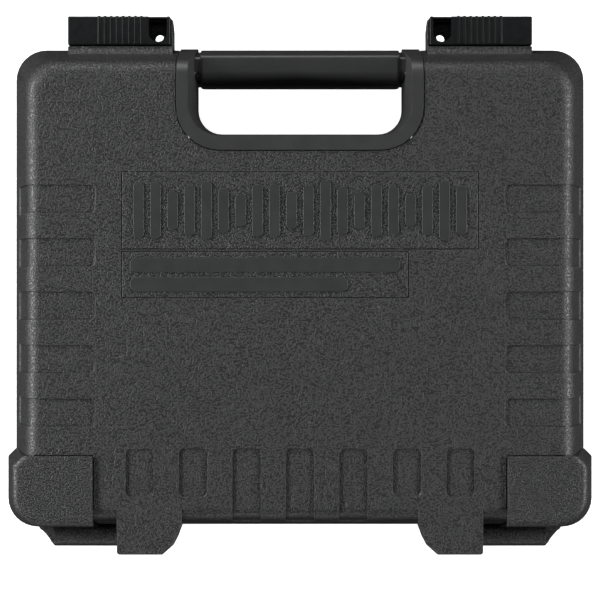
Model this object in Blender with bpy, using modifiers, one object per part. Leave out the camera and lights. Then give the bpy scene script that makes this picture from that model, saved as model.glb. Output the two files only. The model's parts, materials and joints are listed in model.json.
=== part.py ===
"""Hard-shell pedalboard case for three compact effect pedals.

A moulded base and lid meet at a horizontal parting plane. The lid turns on two
pins at the rear, two sliding latches lock it at the front, and a carrying bar
runs across a finger gap that passes through both halves.

Frame: metres, +Z up, the case lying on its rubber feet. X runs across the case,
the handle and the latches face -Y, the hinges are at +Y. The origin is below the
middle of the bounding box, on the surface that the case rests on.

Both halves are described in a half frame: u is the height above the parting
plane, counted away from it, so the same functions make the lid (side = 1) and
the base (side = -1).
"""

import math

import bmesh
import bpy
from mathutils import Matrix, Vector

MM = 0.001
OBJECT_NAME = "pedalboard"
LID = 1
BASE = -1
RIGHT = 1
LEFT = -1

# ---- Overall sizes ----
SHELL_WIDTH = 294.0 * MM      # across the side walls at the parting plane
SHELL_DEPTH = 245.5 * MM      # front wall to rear wall at the parting plane
LID_HEIGHT = 44.0 * MM        # parting plane to the lid's face
BASE_HEIGHT = 51.5 * MM       # parting plane to the base's underside
STAND_OFF = 3.0 * MM          # underside of the base above the surface it rests on

# ---- Shells ----
WALL = 3.0 * MM
PARTING_GAP = 0.4 * MM
PLAN_RADIUS = 15.5 * MM
EDGE_ROUNDING = 7.0 * MM
LID_DRAFT = math.radians(13.0)
LID_REAR_DRAFT = math.radians(7.6)
BASE_DRAFT = math.radians(8.0)
BASE_REAR_DRAFT = math.radians(6.0)
FIT = 0.3 * MM                # gap between pieces that touch
TONGUE_WIDTH = 1.0 * MM
TONGUE_HEIGHT = 3.0 * MM

# ---- Recesses in the faces ----
RECESS_DEPTH = 0.9 * MM
RECESS_RADIUS = 2.4 * MM
RECESS_PITCH = 26.75 * MM
RECESS_WIDTH = 14.0 * MM
SIDE_RECESS_COUNT = 5
SIDE_RECESS_REACH = 44.4 * MM    # from the side wall inwards
SIDE_RECESS_MIDDLE = 9.5 * MM    # middle recess behind the middle of the shell
SIDE_RECESS_RIM = 12.0 * MM      # plain band left above the parting plane
SLOT_COUNT = 7
SLOT_LENGTH = 24.2 * MM
SLOT_REAR_EDGE = 17.6 * MM       # from the rear wall to the rear end of a slot
LONG_SLOT_COUNT = 3
LONG_SLOT_RIM = 29.0 * MM        # plain band left above the parting plane

# ---- Corner guards at the rear ----
GUARD_PROUD_FACE = 1.5 * MM
GUARD_PROUD_SIDE = 4.2 * MM
GUARD_PROUD_REAR = 1.3 * MM
GUARD_WIDTH = 47.5 * MM       # inner edge to the outer edge, at the parting plane
GUARD_LENGTH = 41.4 * MM      # front end to the rear edge, at the parting plane
GUARD_FRONT_CHAMFER = 4.6 * MM
GUARD_RADIUS = 15.0 * MM
GUARD_ROUNDING = 3.4 * MM
GUARD_LID_DRAFT = math.radians(9.3)
GUARD_REAR_DRAFT = math.radians(5.0)
GUARD_FRONT_DRAFT = math.radians(2.7)

# ---- Handle ----
HANDLE_HALF_WIDTH = 61.9 * MM
HANDLE_DEPTH = 54.4 * MM      # front wall to the far edge of the surround
HANDLE_RADIUS = 21.8 * MM
HANDLE_PROUD = 0.6 * MM
GAP_HALF_WIDTH = 52.5 * MM    # finger gap at the parting plane
GAP_REAR = 43.6 * MM          # front wall to the gap's far side, at the parting plane
GAP_RADIUS = 12.2 * MM
GAP_SLOPE = 3.5 / 44.0        # how much the gap opens per unit of height
BAR_DEPTHS = {LID: 18.0 * MM, BASE: 19.8 * MM}
BAR_HEIGHT = 19.0 * MM        # each half, from the parting plane
BAR_REAR_DRAFT = math.radians(3.0)
BAR_ROUNDING = 1.8 * MM
BAR_REAR_ROUNDING = 4.5 * MM    # where the fingers wrap round
GRIP_HALF_LENGTH = 51.2 * MM
GRIP_PROUD = 1.0 * MM
POST_RADIUS = 4.0 * MM
POST_LENGTH = 9.0 * MM
POST_BORE = 1.85 * MM
LUG_THICKNESS = 3.0 * MM
LUG_HALF_WIDTH = 5.0 * MM
LUG_REACH = 5.6 * MM          # edge of the surround to a screw's axis
LUG_HOLE = 2.0 * MM
SIDE_LUG_Y = 30.0 * MM        # front wall to the side screws
REAR_LUG_X = 36.0 * MM
SCREW_SHANK = 1.5 * MM
SCREW_HEAD = 3.2 * MM
SCREW_HEAD_HEIGHT = 2.0 * MM

# ---- Hinges ----
HINGE_REACH = 11.3 * MM       # rear wall to the back of the tabs and feet
KNUCKLE_RADIUS = 5.3 * MM
KNUCKLE_CLEARANCE = 0.6 * MM
KNUCKLE_ROOM = 0.5 * MM       # round the lid's knuckle, in the base
KNUCKLE_INSET = 0.1 * MM      # knuckle inside the backs of the tabs
PIN_RADIUS = 2.5 * MM
PIN_CLEARANCE = 0.35 * MM
TAB_INNER = 59.1 * MM
TAB_OUTER = 91.6 * MM
TAB_CHAMFER = 9.7 * MM
TAB_CORNER = 1.5 * MM
TAB_WALL = 3.2 * MM
FOOT_INNER = 66.0 * MM
FOOT_OUTER = 135.2 * MM
FOOT_TAPER = 8.1 * MM
FOOT_SIDE_GAP = 0.6 * MM
FOOT_BOTTOM = 6.0 * MM        # above the base's underside
OPEN_ANGLE = math.radians(105.0)

# ---- Latches ----
LATCH_INNER = 66.4 * MM
LATCH_LENGTH = 52.6 * MM
LATCH_TRAVEL = 12.0 * MM
LATCH_FRONT = 16.0 * MM       # front wall to the front of a latch
LATCH_TOP = 14.6 * MM         # above the parting plane
LATCH_BOTTOM = 12.5 * MM      # below it
LATCH_WALL = 2.3 * MM
LATCH_BEVEL = 0.7 * MM
LATCH_PLAY = 0.5 * MM
RIB_COUNT = 8
RIB_PITCH = 3.1 * MM
RIB_RADIUS = 0.8 * MM
RIB_PROUD = 0.5 * MM
TOP_RIB_PROUD = 0.25 * MM
RIB_FIRST = 81.3 * MM
LEDGE_PROUD = 0.7 * MM
LEDGE_HEIGHT = 13.9 * MM
FLANGE_REACH = 12.8 * MM
FLANGE_THICKNESS = 4.0 * MM
LIP_HEIGHT = 7.0 * MM
LIP_WIDTH = 3.2 * MM
CHEEK_WIDTH = 1.0 * MM
CHEEK_REACH = 14.8 * MM
CHEEK_CHAMFER = 3.0 * MM
CHEEK_HEIGHT = 13.5 * MM
NOTCH_INNER = 68.2 * MM
NOTCH_WIDTH = 9.3 * MM
NOTCH_REAR = 1.8 * MM         # band left behind the notch
NOTCH_FRONT_STEP = 2.6 * MM
SHACKLE_HOLE = 2.4 * MM
SHACKLE_Y = 6.3 * MM          # front wall to the shackle hole
TOOTH_MIDDLES = (84.0 * MM, 108.0 * MM)
TOOTH_WIDTH = 11.4 * MM
TOOTH_HEIGHT = 8.4 * MM
FINGER_WIDTH = 10.8 * MM
FINGER_THICKNESS = 3.2 * MM
STOP_WIDTH = 3.0 * MM
STOP_HEIGHT = 6.0 * MM

# ---- Rubber feet ----
PAD_RADIUS = 9.0 * MM
PAD_RECESS = 1.0 * MM
PAD_INSET_X = 32.0 * MM       # from the side wall at the parting plane
PAD_INSET_Y = 55.0 * MM

# ---- Foam ----
PEDAL_WIDTH = 73.0 * MM
PEDAL_LENGTH = 129.0 * MM
BAY_COUNT = 3
BAY_CLEARANCE = 1.5 * MM
FOAM_CLEARANCE = 1.2 * MM
FLOOR_FOAM = 8.0 * MM
FRAME_FOAM_TOP = 8.5 * MM     # below the parting plane
DIVIDER_WIDTH = 10.0 * MM
REAR_BORDER = 8.0 * MM
TRENCH_WIDTH = 14.0 * MM
TRENCH_WEB = 6.0 * MM
LID_FOAM = 15.0 * MM

SIDES_ROUND = 16
SIDES_POST = 12
ARC_STEPS = 8

# ---- Places worked out from the sizes ----
PARTING_Z = STAND_OFF + BASE_HEIGHT
LATCH_REACH = LATCH_FRONT + RIB_PROUD
SHELL_Y = (LATCH_REACH - HINGE_REACH) / 2
FRONT_Y = SHELL_Y - SHELL_DEPTH / 2
REAR_Y = SHELL_Y + SHELL_DEPTH / 2
SIDE_X = SHELL_WIDTH / 2
HALF_GAP = PARTING_GAP / 2
HINGE_Y = REAR_Y + HINGE_REACH - KNUCKLE_RADIUS - KNUCKLE_INSET
HEIGHTS = {LID: LID_HEIGHT, BASE: BASE_HEIGHT}
DRAFTS = {LID: LID_DRAFT, BASE: BASE_DRAFT}
REAR_DRAFTS = {LID: LID_REAR_DRAFT, BASE: BASE_REAR_DRAFT}
GUARD_DRAFTS = {LID: GUARD_LID_DRAFT, BASE: BASE_DRAFT}
BORE_START = TAB_INNER + TAB_CHAMFER + TAB_WALL
KNUCKLE_OUTER = FOOT_OUTER - FOOT_TAPER
LATCH_OUTER = LATCH_INNER + LATCH_LENGTH
RAIL_OUTER = LATCH_OUTER - LATCH_WALL
FAR = 400.0 * MM


# ---- Scene and objects ----

def clear_scene():
    for item in list(bpy.data.objects):
        bpy.data.objects.remove(item, do_unlink=True)


def new_collection(name):
    collection = bpy.data.collections.new(name)
    bpy.context.scene.collection.children.link(collection)
    return collection


def new_material(name, colour, roughness, metallic=0.0):
    item = bpy.data.materials.new(name)
    item.use_nodes = True
    shader = item.node_tree.nodes["Principled BSDF"]
    shader.inputs["Base Color"].default_value = (*colour, 1.0)
    shader.inputs["Roughness"].default_value = roughness
    shader.inputs["Metallic"].default_value = metallic
    item.diffuse_color = (*colour, 1.0)
    return item


def new_empty(name, location, parent=None):
    empty = bpy.data.objects.new(name, None)
    empty.empty_display_size = 20 * MM
    parts.objects.link(empty)
    empty.matrix_world = Matrix.Translation(location)
    if parent is not None:
        hang(empty, parent)
    return empty


def even_shading(item):
    """Let large flat faces set the normals after the Booleans."""
    normals = item.modifiers.new("normals", "WEIGHTED_NORMAL")
    normals.weight = 100
    normals.keep_sharp = True


def hang(item, parent):
    """Parent an object that is modelled in place, without moving it."""
    item.parent = parent
    offset = Vector((0, 0, 0))
    step = parent
    while step is not None:
        offset += step.location
        step = step.parent
    item.matrix_parent_inverse = Matrix.Identity(4)
    item.location = item.location - offset


def add_part(name, solid, material, parent=None):
    """Make a named sub-part from a bmesh in world coordinates."""
    mesh = bpy.data.meshes.new(name)
    solid.to_mesh(mesh)
    solid.free()
    mesh.materials.append(material)
    mesh.shade_smooth()
    mesh.set_sharp_from_angle(angle=math.radians(30))
    item = bpy.data.objects.new(name, mesh)
    parts.objects.link(item)
    if parent is not None:
        hang(item, parent)
    return item


def add_tool(name, solid, parent=None):
    """Make a shape that only serves as a Boolean operand."""
    mesh = bpy.data.meshes.new(name)
    solid.to_mesh(mesh)
    solid.free()
    item = bpy.data.objects.new(name, mesh)
    item.display_type = "WIRE"
    item.hide_render = True
    tools.objects.link(item)
    if parent is not None:
        hang(item, parent)
    return item


def boolean(target, operation, solid, label):
    """Combine a bmesh in world coordinates with an object."""
    tool = add_tool(f"{target.name}_{label}", solid, target.parent)
    modifier = target.modifiers.new(label, "BOOLEAN")
    modifier.operation = operation
    modifier.solver = "EXACT"
    modifier.object = tool
    return tool


def cut(target, solid, label):
    return boolean(target, "DIFFERENCE", solid, label)


def join(target, solid, label):
    return boolean(target, "UNION", solid, label)


def keep_within(target, solid, label):
    return boolean(target, "INTERSECT", solid, label)


# ---- Solids ----

def box(x_range, y_range, z_range):
    solid = bmesh.new()
    bmesh.ops.create_cube(solid, size=1.0)
    spans = (x_range, y_range, z_range)
    scale = [max(span) - min(span) for span in spans]
    middle = [(span[0] + span[1]) / 2 for span in spans]
    bmesh.ops.scale(solid, vec=scale, verts=solid.verts)
    bmesh.ops.translate(solid, vec=middle, verts=solid.verts)
    return solid


def bevelled_box(x_range, y_range, z_range, offset, segments=2):
    solid = box(x_range, y_range, z_range)
    bmesh.ops.bevel(solid, geom=solid.edges[:], offset=offset, segments=segments,
                    profile=0.5, affect="EDGES")
    return solid


def cylinder(start, end, radius, sides=SIDES_ROUND):
    """A round bar between two points on a line parallel to an axis."""
    start = Vector(start)
    end = Vector(end)
    solid = bmesh.new()
    bmesh.ops.create_cone(solid, cap_ends=True, segments=sides, radius1=radius,
                          radius2=radius, depth=(end - start).length)
    turn = Vector((0, 0, 1)).rotation_difference(end - start).to_matrix().to_4x4()
    bmesh.ops.transform(solid, matrix=Matrix.Translation((start + end) / 2) @ turn,
                        verts=solid.verts)
    return solid


def gather(solids):
    """Put solids that don't touch each other into one bmesh."""
    whole = bmesh.new()
    for solid in solids:
        mesh = bpy.data.meshes.new("gathered")
        solid.to_mesh(mesh)
        solid.free()
        whole.from_mesh(mesh)
        bpy.data.meshes.remove(mesh)
    return whole


def reflected(solid, axis):
    """The mirror image of a solid across the plane through the origin."""
    scale = [1.0, 1.0, 1.0]
    scale[axis] = -1.0
    bmesh.ops.scale(solid, vec=scale, verts=solid.verts)
    bmesh.ops.reverse_faces(solid, faces=solid.faces[:])
    return solid


def both_sides(make):
    """A solid made for +X together with its mirror image."""
    return gather([make(), reflected(make(), 0)])


def in_half(solid, side):
    """Take a solid from the half frame to its place above or below the parting plane."""
    if side == BASE:
        reflected(solid, 2)
    bmesh.ops.translate(solid, vec=(0, 0, PARTING_Z), verts=solid.verts)
    return solid


def rounded_outline(corners):
    """Points of a closed outline: corners are (x, y, radius), counter-clockwise."""
    points = []
    count = len(corners)
    for index, (x, y, radius) in enumerate(corners):
        here = Vector((x, y))
        before = (Vector(corners[index - 1][:2]) - here).normalized()
        after = (Vector(corners[(index + 1) % count][:2]) - here).normalized()
        if radius <= 0:
            points.append((x, y))
            continue
        half_angle = before.angle(after) / 2
        centre = here + (before + after).normalized() * (radius / math.sin(half_angle))
        reach = radius / math.tan(half_angle)
        first = here + before * reach - centre
        last = here + after * reach - centre
        sweep = first.angle_signed(last)
        for step in range(ARC_STEPS + 1):
            turned = first.copy()
            turned.rotate(Matrix.Rotation(-sweep * step / ARC_STEPS, 2))
            points.append(tuple(centre + turned))
    return points


def flat_solid(points, low, high):
    """An upright solid with a flat outline, from a filled 2D curve."""
    curve = bpy.data.curves.new("outline", "CURVE")
    curve.dimensions = "2D"
    curve.fill_mode = "BOTH"
    curve.extrude = (high - low) / 2
    spline = curve.splines.new("POLY")
    spline.points.add(len(points) - 1)
    for point, (x, y) in zip(spline.points, points):
        point.co = (x, y, 0, 1)
    spline.use_cyclic_u = True
    guide = bpy.data.objects.new("outline", curve)
    tools.objects.link(guide)
    depsgraph = bpy.context.evaluated_depsgraph_get()
    mesh = bpy.data.meshes.new_from_object(guide.evaluated_get(depsgraph))
    bpy.data.objects.remove(guide, do_unlink=True)
    bpy.data.curves.remove(curve)
    solid = bmesh.new()
    solid.from_mesh(mesh)
    bpy.data.meshes.remove(mesh)
    bmesh.ops.remove_doubles(solid, verts=solid.verts, dist=0.001 * MM)
    bmesh.ops.dissolve_limit(solid, angle_limit=math.radians(0.5), verts=solid.verts,
                             edges=solid.edges)
    bmesh.ops.recalc_face_normals(solid, faces=solid.faces)
    bmesh.ops.translate(solid, vec=(0, 0, (low + high) / 2), verts=solid.verts)
    return solid


def loft(lower, upper, low, high):
    """A solid between two outlines with the same number of points."""
    solid = bmesh.new()
    bottom = [solid.verts.new((x, y, low)) for x, y in lower]
    top = [solid.verts.new((x, y, high)) for x, y in upper]
    solid.faces.new(reversed(bottom))
    solid.faces.new(top)
    count = len(bottom)
    for index in range(count):
        after = (index + 1) % count
        solid.faces.new((bottom[index], bottom[after], top[after], top[index]))
    bmesh.ops.recalc_face_normals(solid, faces=solid.faces)
    return solid


def drafted_block(x_range, y_range, height, drafts, plan_radius, rounding, start=0.0):
    """A block whose walls lean in towards its face, with rounded corners and edges.

    x_range and y_range are measured at the parting plane; drafts are the wall
    angles at (low x, high x, low y, high y).
    """
    solid = box((0, 1), (0, 1), (0, 1))
    for vert in solid.verts:
        level = start if vert.co.z < 0.5 else height
        side_x = 0 if vert.co.x < 0.5 else 1
        side_y = 0 if vert.co.y < 0.5 else 1
        lean_x = level * math.tan(drafts[side_x]) * (1 - 2 * side_x)
        lean_y = level * math.tan(drafts[2 + side_y]) * (1 - 2 * side_y)
        vert.co = (x_range[side_x] + lean_x, y_range[side_y] + lean_y, level)
    solid.normal_update()
    if plan_radius > 0:
        upright = [edge for edge in solid.edges
                   if abs(edge.verts[0].co.z - edge.verts[1].co.z) > height / 2]
        bmesh.ops.bevel(solid, geom=upright, offset=plan_radius, segments=ARC_STEPS,
                        profile=0.5, affect="EDGES")
    if rounding > 0:
        rim = [edge for edge in solid.edges
               if all(vert.co.z > height - 0.01 * MM for vert in edge.verts)]
        bmesh.ops.bevel(solid, geom=rim, offset=rounding, segments=ARC_STEPS,
                        profile=0.5, affect="EDGES")
    return solid


def body_block(side, grow=0.0, start=0.0):
    """The outer form of one half, grown evenly outwards or shrunk inwards."""
    drafts = (DRAFTS[side],) * 3 + (REAR_DRAFTS[side],)
    return drafted_block(
        (-SIDE_X - grow, SIDE_X + grow), (FRONT_Y - grow, REAR_Y + grow),
        HEIGHTS[side] + grow, drafts, PLAN_RADIUS + grow, EDGE_ROUNDING + grow, start)


# ---- Shells ----

def recess_outlines():
    """Boxes, as (x, y) corner outlines with the lowest u, of the recesses for +X."""
    half = RECESS_WIDTH / 2
    outlines = []
    for index in range(SIDE_RECESS_COUNT):
        middle = SHELL_Y + SIDE_RECESS_MIDDLE
        middle += (index - (SIDE_RECESS_COUNT - 1) / 2) * RECESS_PITCH
        inner = SIDE_X - SIDE_RECESS_REACH
        outlines.append((((inner, middle + half, RECESS_RADIUS), (inner, middle - half, RECESS_RADIUS),
                          (FAR, middle - half, 0), (FAR, middle + half, 0)), SIDE_RECESS_RIM, True))
    rear = REAR_Y - SLOT_REAR_EDGE
    front = rear - SLOT_LENGTH
    for index in range(-(SLOT_COUNT // 2), SLOT_COUNT // 2 + 1):
        middle = index * RECESS_PITCH
        is_long = abs(index) <= LONG_SLOT_COUNT // 2
        end = FAR if is_long else rear
        end_radius = 0 if is_long else RECESS_RADIUS
        outlines.append((((middle - half, front, RECESS_RADIUS), (middle + half, front, RECESS_RADIUS),
                          (middle + half, end, end_radius), (middle - half, end, end_radius)),
                         LONG_SLOT_RIM, False))
    return outlines


def recess_cutter(side):
    """Every recess of one half: upright prisms that stop RECESS_DEPTH under the surface."""
    top = HEIGHTS[side] + 10 * MM
    solids = []
    for corners, low, mirrored in recess_outlines():
        points = rounded_outline(corners)
        solids.append(flat_solid(points, low, top))
        if mirrored:
            solids.append(reflected(flat_solid(points, low, top), 0))
    prisms = gather(solids)
    return in_half(prisms, side)


def surround_outline(grow):
    """Outline of the handle's surround, open past the front wall."""
    width = HANDLE_HALF_WIDTH + grow
    rear = FRONT_Y + HANDLE_DEPTH + grow
    front = FRONT_Y - 30 * MM
    radius = HANDLE_RADIUS + grow
    return rounded_outline(((-width, front, 0), (width, front, 0),
                            (width, rear, radius), (-width, rear, radius)))


def make_shell(side, name, material, parent=None):
    """One half of the case as an open moulding, before its fittings."""
    height = HEIGHTS[side]
    skin = body_block(side, 0.0, -6 * MM)
    opening = [face for face in skin.faces if face.calc_center_median().z < -5.9 * MM]
    bmesh.ops.delete(skin, geom=opening, context="FACES_ONLY")
    shell = add_part(name, in_half(skin, side), material, parent)
    wall = shell.modifiers.new("wall", "SOLIDIFY")
    wall.thickness = WALL
    wall.offset = -1.0
    wall.use_even_offset = True
    trim = box((-FAR, FAR), (-FAR, FAR), (-20 * MM, HALF_GAP))
    cut(shell, in_half(trim, side), "parting")
    recesses = cut(shell, recess_cutter(side), "recesses")
    floor = recesses.modifiers.new("floor", "BOOLEAN")
    floor.operation = "DIFFERENCE"
    floor.solver = "EXACT"
    floor.object = add_tool(f"{name}_recess_floor",
                            in_half(body_block(side, -RECESS_DEPTH, -20 * MM), side), parent)
    join(shell, in_half(screw_posts(height), side), "posts")
    cut(shell, in_half(flat_solid(surround_outline(FIT), -20 * MM, height + 5 * MM), side),
        "handle_opening")
    cut(shell, in_half(screw_bores(height), side), "post_bores")
    return shell


def screw_axes():
    """(x, y) of the four screws that hold a handle half, and which way their lugs run."""
    reach = HANDLE_HALF_WIDTH + LUG_REACH
    rear = FRONT_Y + HANDLE_DEPTH + LUG_REACH
    side_y = FRONT_Y + SIDE_LUG_Y
    return ((reach, side_y, "x"), (-reach, side_y, "x"),
            (REAR_LUG_X, rear, "y"), (-REAR_LUG_X, rear, "y"))


def screw_posts(height):
    top = height - WALL / 2
    return gather([cylinder((x, y, top), (x, y, height - WALL - POST_LENGTH), POST_RADIUS, SIDES_POST)
                   for x, y, _ in screw_axes()])


def screw_bores(height):
    low = height - WALL - POST_LENGTH
    return gather([cylinder((x, y, height - WALL), (x, y, low - 2 * MM), POST_BORE, SIDES_POST)
                   for x, y, _ in screw_axes()])


# ---- Handle ----

def gap_outline(grow):
    """Outline of the finger gap, open past the front wall."""
    width = GAP_HALF_WIDTH + grow
    rear = FRONT_Y + GAP_REAR + grow
    front = FRONT_Y - 30 * MM
    radius = GAP_RADIUS + grow
    return rounded_outline(((-width, front, 0), (width, front, 0),
                            (width, rear, radius), (-width, rear, radius)))


def gap_block(height, grow):
    """The finger gap of one half, opening outwards, grown by a wall's thickness."""
    low = -10 * MM
    high = height + 10 * MM
    return loft(gap_outline(grow + low * GAP_SLOPE), gap_outline(grow + high * GAP_SLOPE),
                low, high)


def bar_block(half_length, shrink, side):
    """The carrying bar's section run across the gap, or the same drawn in by shrink."""
    front = FRONT_Y + shrink
    rear = FRONT_Y + BAR_DEPTHS[side] - shrink
    drafts = (0, 0, DRAFTS[side], BAR_REAR_DRAFT)
    solid = drafted_block((-half_length, half_length), (front, rear), BAR_HEIGHT - shrink,
                          drafts, 0, 0, HALF_GAP)
    return round_bar(solid)


def round_bar(solid):
    """Round a bar's rear top edge widely, then its front top edge and its ends."""
    top = max(vert.co.z for vert in solid.verts)
    middle = FRONT_Y + BAR_DEPTHS[LID] / 2
    rear = [edge for edge in solid.edges
            if all(vert.co.z > top - 0.01 * MM and vert.co.y > middle for vert in edge.verts)]
    bmesh.ops.bevel(solid, geom=rear, offset=BAR_REAR_ROUNDING, segments=6, profile=0.5,
                    affect="EDGES")
    front = [edge for edge in solid.edges
             if all(vert.co.z > top - 0.01 * MM and vert.co.y < middle for vert in edge.verts)]
    ends = [edge for edge in solid.edges if edge not in front
            and edge.verts[0].co.x * edge.verts[1].co.x > 0
            and all(vert.co.z > top - 2 * BAR_REAR_ROUNDING for vert in edge.verts)]
    bmesh.ops.bevel(solid, geom=front + ends, offset=BAR_ROUNDING, segments=4, profile=0.5,
                    affect="EDGES")
    return solid


def lug(x, y, along, height):
    """A plate from the surround's wall to one screw."""
    high = height - WALL - POST_LENGTH - FIT
    low = high - LUG_THICKNESS
    if along == "x":
        inner = GAP_HALF_WIDTH + low * GAP_SLOPE + WALL / 2
        outer = abs(x) + LUG_HALF_WIDTH
        reach = (inner, outer) if x > 0 else (-outer, -inner)
        return box(reach, (y - LUG_HALF_WIDTH, y + LUG_HALF_WIDTH), (low, high))
    inner = FRONT_Y + GAP_REAR + low * GAP_SLOPE + WALL / 2
    return box((x - LUG_HALF_WIDTH, x + LUG_HALF_WIDTH), (inner, y + LUG_HALF_WIDTH), (low, high))


def make_handle_half(side, name, material, parent=None):
    """The smooth surround of the finger gap with its half of the carrying bar."""
    height = HEIGHTS[side]
    block = flat_solid(surround_outline(0.0), HALF_GAP, height + 5 * MM)
    half = add_part(name, in_half(block, side), material, parent)
    keep_within(half, in_half(body_block(side, HANDLE_PROUD, -20 * MM), side), "body")
    cut(half, in_half(gap_block(height, 0.0), side), "gap")
    core = cut(half, in_half(body_block(side, -WALL, -20 * MM), side), "core")
    wall = core.modifiers.new("gap_wall", "BOOLEAN")
    wall.operation = "DIFFERENCE"
    wall.solver = "EXACT"
    wall.object = add_tool(f"{name}_gap_wall", in_half(gap_block(height, WALL), side), parent)
    bar_end = GAP_HALF_WIDTH + BAR_HEIGHT * GAP_SLOPE + WALL / 3
    join(half, in_half(bar_block(bar_end, GRIP_PROUD, side), side), "bar")
    join(half, in_half(bar_block(GRIP_HALF_LENGTH, 0.0, side), side), "grip")
    hollow = box((-GRIP_HALF_LENGTH + WALL, GRIP_HALF_LENGTH - WALL),
                 (FRONT_Y + BAR_HEIGHT * math.tan(DRAFTS[side]) + WALL,
                  FRONT_Y + BAR_DEPTHS[side] - WALL - GRIP_PROUD),
                 (-5 * MM, BAR_HEIGHT - WALL - GRIP_PROUD))
    cut(half, in_half(hollow, side), "bar_hollow")
    lugs = gather([lug(x, y, along, height) for x, y, along in screw_axes()])
    join(half, in_half(lugs, side), "lugs")
    high = height - WALL - POST_LENGTH
    holes = gather([cylinder((x, y, high + 2 * MM), (x, y, high - LUG_THICKNESS - 3 * MM),
                             LUG_HOLE, SIDES_POST) for x, y, _ in screw_axes()])
    cut(half, in_half(holes, side), "lug_holes")
    even_shading(half)
    return half


def make_screws(side, name, material, parent=None):
    """Four pan-head screws that pull a handle half against its posts."""
    height = HEIGHTS[side]
    head_top = height - WALL - POST_LENGTH - 2 * FIT - LUG_THICKNESS
    tip = height - WALL - 2 * MM
    profile = ((0, tip), (SCREW_SHANK, tip), (SCREW_SHANK, head_top), (SCREW_HEAD, head_top),
               (SCREW_HEAD, head_top - SCREW_HEAD_HEIGHT * 0.6),
               (SCREW_HEAD * 0.6, head_top - SCREW_HEAD_HEIGHT),
               (0, head_top - SCREW_HEAD_HEIGHT))
    for number, (x, y, _) in enumerate(screw_axes(), 1):
        solid = turned(profile, SIDES_POST)
        bmesh.ops.translate(solid, vec=(x, y, 0), verts=solid.verts)
        add_part(f"{name}_{number}", in_half(solid, side), material, parent)


def turned(profile, sides):
    """A solid of revolution about Z; the profile runs from the axis and back, top to bottom."""
    solid = bmesh.new()
    verts = [solid.verts.new((radius, 0, level)) for radius, level in profile]
    edges = [solid.edges.new(pair) for pair in zip(verts, verts[1:])]
    bmesh.ops.spin(solid, geom=verts + edges, axis=(0, 0, 1), cent=(0, 0, 0),
                   angle=math.tau, steps=sides, use_merge=True)
    bmesh.ops.remove_doubles(solid, verts=solid.verts, dist=0.001 * MM)
    bmesh.ops.recalc_face_normals(solid, faces=solid.faces)
    return solid


# ---- Corner guards ----

def make_guard(side, hand, name, material, parent=None):
    """A thick rear corner cap that sits over the shell with a fitting gap."""
    outer = SIDE_X + GUARD_PROUD_SIDE
    rear = REAR_Y + GUARD_PROUD_REAR
    height = HEIGHTS[side] + GUARD_PROUD_FACE
    drafts = (0, GUARD_DRAFTS[side], GUARD_FRONT_DRAFT, GUARD_REAR_DRAFT)
    solid = drafted_block((outer - GUARD_WIDTH, outer), (rear - GUARD_LENGTH, rear), height,
                          drafts, 0, 0, HALF_GAP)
    upright = {"rear": [], "front": []}
    for edge in solid.edges:
        first, second = edge.verts
        if abs(first.co.z - second.co.z) > height / 2 and min(first.co.x, second.co.x) > outer / 1.2:
            end = "rear" if first.co.y > rear - GUARD_LENGTH / 2 else "front"
            upright[end].append(edge)
    bmesh.ops.bevel(solid, geom=upright["front"], offset=GUARD_FRONT_CHAMFER, segments=1,
                    affect="EDGES")
    upright["rear"] = [edge for edge in solid.edges
                       if abs(edge.verts[0].co.z - edge.verts[1].co.z) > height / 2
                       and min(vert.co.x for vert in edge.verts) > outer / 1.2
                       and min(vert.co.y for vert in edge.verts) > rear - GUARD_LENGTH / 4]
    bmesh.ops.bevel(solid, geom=upright["rear"], offset=GUARD_RADIUS, segments=ARC_STEPS,
                    profile=0.5, affect="EDGES")
    inner = outer - GUARD_WIDTH
    front = rear - GUARD_LENGTH + height * math.tan(GUARD_FRONT_DRAFT)
    rim = [edge for edge in solid.edges if all(vert.co.z > height - 0.01 * MM for vert in edge.verts)]
    sharp = [edge for edge in rim if all(vert.co.x < inner + 0.1 * MM for vert in edge.verts)
             or all(vert.co.y < front + 0.1 * MM for vert in edge.verts)]
    soft = [edge for edge in rim if edge not in sharp]
    bmesh.ops.bevel(solid, geom=soft, offset=GUARD_ROUNDING, segments=4, profile=0.5,
                    affect="EDGES")
    if hand == LEFT:
        reflected(solid, 0)
    guard = add_part(name, in_half(solid, side), material, parent)
    cut(guard, in_half(body_block(side, FIT, -20 * MM), side), "shell")
    if side == BASE:
        room = box((FOOT_INNER - FIT, FOOT_OUTER + FIT), (REAR_Y - 20 * MM, rear + 10 * MM),
                   (-5 * MM, BASE_HEIGHT - FOOT_BOTTOM + FIT))
    else:
        room = cylinder((TAB_OUTER, HINGE_Y, 0), (FOOT_OUTER, HINGE_Y, 0),
                        KNUCKLE_RADIUS + KNUCKLE_CLEARANCE)
    if hand == LEFT:
        reflected(room, 0)
    cut(guard, in_half(room, side), "hinge_room")
    even_shading(guard)
    return guard


# ---- Hinges ----

def tab_outline():
    """Plan of a lid tab, flush with the lid's face and chamfered on its inner side."""
    rear = REAR_Y + HINGE_REACH
    front = REAR_Y - EDGE_ROUNDING - 5 * MM
    step = 0.4 * TAB_CHAMFER
    return rounded_outline((
        (TAB_INNER, front, 0), (TAB_OUTER, front, 0), (TAB_OUTER, rear, TAB_CORNER),
        (TAB_INNER + TAB_CHAMFER, rear, TAB_CORNER),
        (TAB_INNER + step, rear - 0.54 * TAB_CHAMFER, TAB_CORNER),
        (TAB_INNER, REAR_Y - 4.6 * MM, 0)))


def lid_tab():
    block = flat_solid(tab_outline(), HALF_GAP, LID_HEIGHT)
    return block


def tab_knuckle():
    return cylinder((TAB_INNER + TAB_CHAMFER, HINGE_Y, 0), (TAB_OUTER, HINGE_Y, 0), KNUCKLE_RADIUS)


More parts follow.
